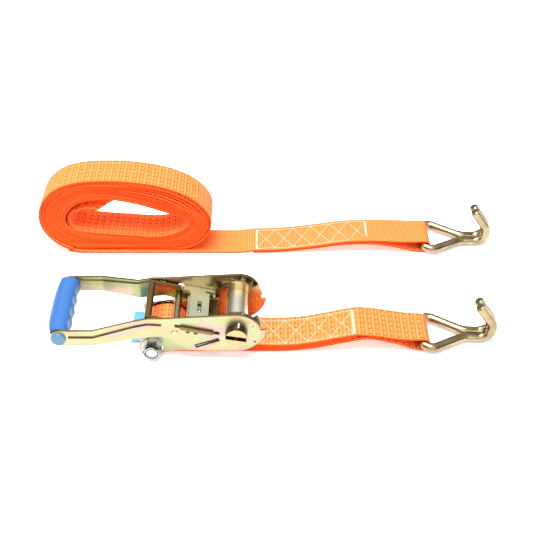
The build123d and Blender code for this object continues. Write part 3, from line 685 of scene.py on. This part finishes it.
def woven(name, colour, groove_shade, edge, dash):
    """Webbing: cross ribs and yarns with painted shade in their grooves, edges painted redder and darker as
    shade, and rows of dark marker dashes.

    Webbing without marker yarn has finer ribs."""
    shader = Shader(name, Roughness=0.65, Sheen_Weight=0.03, Sheen_Roughness=0.4, Specular_IOR_Level=0.1)
    shader.bsdf.inputs["Sheen Tint"].default_value = (1.0, 0.60, 0.30, 1.0)
    weave = shader.add("Attribute", attribute_name="weave").outputs["Vector"]
    split = shader.add("SeparateXYZ", {0: weave}).outputs
    along, across, marks = split[0], split[1], split[2]
    rib_rate = shader.spread(marks, 2 * math.pi / PLAIN_PITCH, 2 * math.pi / RIB_PITCH)
    rib = shader.maths("SINE", shader.maths("MULTIPLY", along, rib_rate))
    yarn = shader.maths("SINE", shader.maths("MULTIPLY", across, 2 * math.pi / YARN_PITCH))
    fibre = shader.noise(1500, 3.0)
    relief = shader.maths("ADD", shader.maths("MULTIPLY", rib, 0.8), shader.maths("MULTIPLY", yarn, 0.3))
    # painted shade: darker colour in the grooves between ribs and, faintly, between yarns
    level = shader.add("MapRange", {"Value": rib, "From Min": -1.0, "From Max": 0.5}).outputs[0]
    rib_shade = shader.maths("ADD", level, shader.maths("MULTIPLY", yarn, 0.14))
    base = shader.mix(rib_shade, groove_shade, colour)
    base = shader.mix(shader.spread(shader.noise(45, 3.0), 0.0, 0.22), base, (0.85, 0.62, 0.40), "MULTIPLY")
    base = shader.mix(shader.spread(fibre, 0.0, 0.3), base, (0.92, 0.70, 0.45), "MULTIPLY")
    # painted shade: the webbing's edges and sides are redder and darker
    out = shader.maths("ABSOLUTE", across)
    selvedge_shade = shader.add("MapRange", {"Value": out, "From Min": SELVEDGE_SHADE_FROM, "From Max": SELVEDGE_SHADE_FULL})
    base = shader.mix(selvedge_shade.outputs[0], base, edge)
    row = shader.maths("PINGPONG", shader.maths("ADD", across, ROW_PITCH * 8), ROW_PITCH / 2)
    step = shader.maths("PINGPONG", along, DASH_PITCH / 2)
    in_row = shader.maths("GREATER_THAN", row, ROW_PITCH / 2 - DASH_HALF_WIDTH)
    in_dash = shader.maths("LESS_THAN", step, DASH_PITCH * 0.25)
    inside = shader.maths("LESS_THAN", out, MARKED_TO)
    shown = in_row
    for condition in (in_dash, inside, marks):
        shown = shader.maths("MULTIPLY", shown, condition)
    base = shader.mix(shader.maths("MULTIPLY", shown, 0.78), base, dash)
    shader.link(base, "Base Color")
    shader.bump(shader.maths("ADD", relief, shader.maths("MULTIPLY", fibre, 0.5)), 0.00045, 0.9)
    return shader.material


def thread_like(name, colour):
    """Sewing thread: twisted plies as fine slanting relief."""
    shader = Shader(name, Roughness=0.55, Sheen_Weight=0.3)
    ply = shader.noise(1400, 2.0, 0.0, (1.0, 0.4, 0.6))
    shader.link(shader.mix(ply, colour, tuple(0.86 * c for c in colour)), "Base Color")
    shader.bump(ply, 0.0002, 0.7)
    return shader.material


def tape_like(name, colour):
    """Thin woven tape: fine threads both ways and a soft gloss."""
    shader = Shader(name, Roughness=0.5, Sheen_Weight=0.2)
    weave = shader.add("Attribute", attribute_name="weave").outputs["Vector"]
    split = shader.add("SeparateXYZ", {0: weave}).outputs
    one = shader.maths("SINE", shader.maths("MULTIPLY", split[0], 2 * math.pi / 0.0008))
    other = shader.maths("SINE", shader.maths("MULTIPLY", split[1], 2 * math.pi / 0.0011))
    threads = shader.maths("MULTIPLY", one, other)
    shade = shader.spread(threads, 0.0, 0.2)
    cloud = shader.spread(shader.noise(90, 2.0), 0.0, 0.3)
    base = shader.mix(shade, colour, tuple(0.75 * c for c in colour))
    shader.link(shader.mix(cloud, base, tuple(0.85 * c for c in colour)), "Base Color")
    shader.bump(threads, 0.00008, 0.5)
    return shader.material


# plating tints; darker and warmer ones stand for what the photo's plates and ends reflect
PINK, SAND, LIME = (0.37, 0.26, 0.24), (0.37, 0.30, 0.16), (0.30, 0.33, 0.18)
# the last of these is a painted shadow, for the drive pawl's end in the handle's shadow
STRAW, MIST, PAWL_SHADOW = (0.39, 0.34, 0.17), (0.27, 0.31, 0.24), (0.18, 0.13, 0.05)
PAWL_SHADE_FROM = 0.0345     # from the buckle's middle to the drive pawl's ends, painted darker as shade
STUB_SHADE_FROM = 0.0370          # and to the mandrel's stub, painted dark as shade, and its end face, painted bronze as a reflection
STUB_FACE_REFLECTION_FROM = 0.0478

# painted shade: the darker colour given for the plates' edges stands for shade
YELLOW_ZINC = plated("yellow_zinc", [LIME, STRAW, PINK, LIME, SAND, PINK, LIME, MIST],
                     edge_shade=(0.22, 0.16, 0.07))
# painted shade: the drive pawl's ends beyond the plates are darker, and so is its part along -X, in the
# handle's shadow
PAWL_ZINC = plated("pawl_zinc", [(0.66, 0.62, 0.38), (0.56, 0.60, 0.42), (0.64, 0.56, 0.36)], patch=22,
                   outside=[(PAWL_SHADE_FROM, (0.15, 0.10, 0.035))],
                   left=(AXLE.x - 0.066, PAWL_SHADOW))
BRONZE_ZINC = plated("bronze_zinc", [(0.34, 0.26, 0.14), (0.42, 0.35, 0.20), (0.40, 0.30, 0.22)],
                     (0.22, 0.32))
# painted shade and painted reflection: the mandrel's stub outside the plates is dark, and its end face bronze
SPOOL_ZINC = plated("spool_zinc", [(0.56, 0.55, 0.43), (0.70, 0.69, 0.58), (0.58, 0.60, 0.52)],
                    (0.30, 0.38),
                    outside=[(STUB_SHADE_FROM, (0.10, 0.07, 0.03)), (STUB_FACE_REFLECTION_FROM, (0.42, 0.27, 0.13))])
HOOK_ZINC = plated("hook_zinc", [(0.20, 0.155, 0.085), (0.33, 0.27, 0.155), (0.25, 0.19, 0.11),
                                 (0.36, 0.31, 0.20)], (0.20, 0.30), edge=0.0005, patch=30)
# painted reflection: orange tints stand for the webbing reflected in the far frame plate
FAR_FRAME_REFLECTION_ZINC = plated("far_frame_reflection_zinc", [(0.62, 0.40, 0.18), (0.54, 0.40, 0.21), (0.50, 0.38, 0.17)],
                     (0.14, 0.22))
# painted shade and painted reflections: darker tints on the far handle plate, and painted shade on its edges
FAR_HANDLE_SHADE_ZINC = plated("far_handle_shade_zinc", [(0.30, 0.28, 0.12), (0.37, 0.28, 0.20), (0.24, 0.26, 0.11),
                                   (0.36, 0.30, 0.16)], (0.22, 0.34), edge_shade=(0.20, 0.15, 0.06))
# painted shade and painted dark reflections: near-black patches on the lock nut
NUT_SHADE_ZINC = plated("nut_shade_zinc", [(0.05, 0.05, 0.03), (0.30, 0.30, 0.26), (0.09, 0.09, 0.06)],
                  (0.16, 0.26), patch=90)
WHITE_ZINC = plated("white_zinc", [(0.46, 0.48, 0.50), (0.62, 0.63, 0.65), (0.50, 0.50, 0.48)],
                    (0.16, 0.26))
SPRING_STEEL = plated("spring_steel", [(0.50, 0.50, 0.50), (0.62, 0.61, 0.58)], (0.2, 0.3), edge=0.0)
NYLON = moulded("nylon_blue", (0.015, 0.05, 0.16), (0.01, 0.035, 0.12), 0.35, 700)
GRIP_BLUE = moulded("grip_blue", (0.017, 0.096, 0.29), (0.014, 0.082, 0.25), 0.42, 900)
CAP_BLUE = moulded("cap_blue", (0.06, 0.15, 0.26), (0.048, 0.12, 0.22), 0.26, 300)
# the groove and edge colours are painted shade: darker in the ribs' grooves and on the webbing's sides
WEBBING = woven("webbing_orange", colour=(1.0, 0.245, 0.075), groove_shade=(1.0, 0.155, 0.032),
                edge=(0.88, 0.058, 0.003), dash=(0.03, 0.010, 0.005))
THREAD = thread_like("thread_white", (0.66, 0.58, 0.50))
LABEL = tape_like("label_blue", (0.05, 0.26, 0.66))


def material_of(node):
    """The finish of a CAD node that stays."""
    if "hook" in node:
        return HOOK_ZINC
    if node in ("handle_cross_rod", "locking_pawl"):
        return BRONZE_ZINC
    if node.startswith("drive_pawl") and not node.endswith("spring"):
        return PAWL_ZINC
    if node.startswith("mandrel_bar"):
        return SPOOL_ZINC
    if node.endswith("spring"):
        return SPRING_STEEL
    if node == "lock_nut":
        return NUT_SHADE_ZINC
    if node in ("strap_bolt", "bolt_washers", "strap_bush", "mandrel_split_pins"):
        return WHITE_ZINC
    named = {"nut_nylon_ring": NYLON, "grip_sleeve": GRIP_BLUE, "grip_cap_far": CAP_BLUE,
             "grip_cap_near": CAP_BLUE, "frame_plate_far": FAR_FRAME_REFLECTION_ZINC, "handle_plate_far": FAR_HANDLE_SHADE_ZINC}
    return named.get(node, YELLOW_ZINC)


def finish_cad_nodes():
    """Give every shown CAD node its material."""
    for node, obj in NODES.items():
        obj.data.materials.clear()
        obj.data.materials.append(material_of(node))


def make_springs():
    """The pawls' coil springs: copies of the CAD springs, attached to the handle and the frame."""
    for pawl, body in (("drive_pawl", "handle"), ("locking_pawl", "frame")):
        spring = bpy.data.objects.new(pawl + "_coil_spring", NODES[pawl + "_spring"].data.copy())
        bpy.context.scene.collection.objects.link(spring)
        spring.data.materials.clear()
        spring.data.materials.append(SPRING_STEEL)
        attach(spring, body)
        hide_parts(pawl + "_spring")
        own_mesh(spring)


# ---------------------------------------------------------------- floor and light
def make_floor():
    """A plain pale floor, which gives a little light of its own so that shadows stay faint."""
    size = 4
    corners = [(-size, -size, 0), (size, -size, 0), (size, size, 0), (-size, size, 0)]
    obj = mesh_object("floor", corners, [(0, 1, 2, 3)])
    shader = Shader("floor_pale", Roughness=0.9, Emission_Strength=0.3)
    shader.bsdf.inputs["Emission Color"].default_value = (1.0, 1.0, 1.0, 1.0)
    shader.link(shader.mix(shader.noise(3, 2.0), (0.93, 0.93, 0.93), (0.92, 0.92, 0.92)), "Base Color")
    obj.data.materials.append(shader.material)


def area_light(name, place, target, size, power):
    """A soft rectangular light aimed at a point."""
    data = bpy.data.lights.new(name, "AREA")
    data.shape = "RECTANGLE"
    data.size, data.size_y = size
    data.energy = power
    light = bpy.data.objects.new(name, data)
    light.location = place
    light.rotation_euler = (Vector(target) - Vector(place)).to_track_quat("-Z", "Y").to_euler()
    bpy.context.scene.collection.objects.link(light)


def make_light():
    """A pale studio, brighter above, with softboxes overhead, in front and to the left."""
    world = bpy.data.worlds.new("studio")
    world.use_nodes = True
    tree = world.node_tree
    height = tree.nodes.new("ShaderNodeSeparateXYZ")
    tree.links.new(tree.nodes.new("ShaderNodeTexCoord").outputs["Generated"], height.inputs[0])
    ramp = tree.nodes.new("ShaderNodeValToRGB")
    for element, (place, level) in zip(ramp.color_ramp.elements, ((0.25, 0.22), (0.75, 0.95))):
        element.position = place
        element.color = (level, level, level, 1.0)
    tree.links.new(height.outputs[2], ramp.inputs[0])
    tree.links.new(ramp.outputs[0], tree.nodes["Background"].inputs["Color"])
    tree.nodes["Background"].inputs["Strength"].default_value = 0.9
    bpy.context.scene.world = world
    area_light("overhead", (-0.3, -0.1, 1.7), (0, 0.05, 0), (1.5, 1.2), 75)
    area_light("front", (0.2, -1.5, 0.9), (0, 0, 0), (1.6, 0.8), 12)
    area_light("left", (-1.5, -0.2, 0.7), (0, 0, 0), (0.8, 0.8), 6)
    bpy.context.scene.view_settings.view_transform = "Standard"


make_camera()
make_long_strap()
make_fixed_strap()
make_label()
finish_cad_nodes()
make_springs()
make_floor()
make_light()
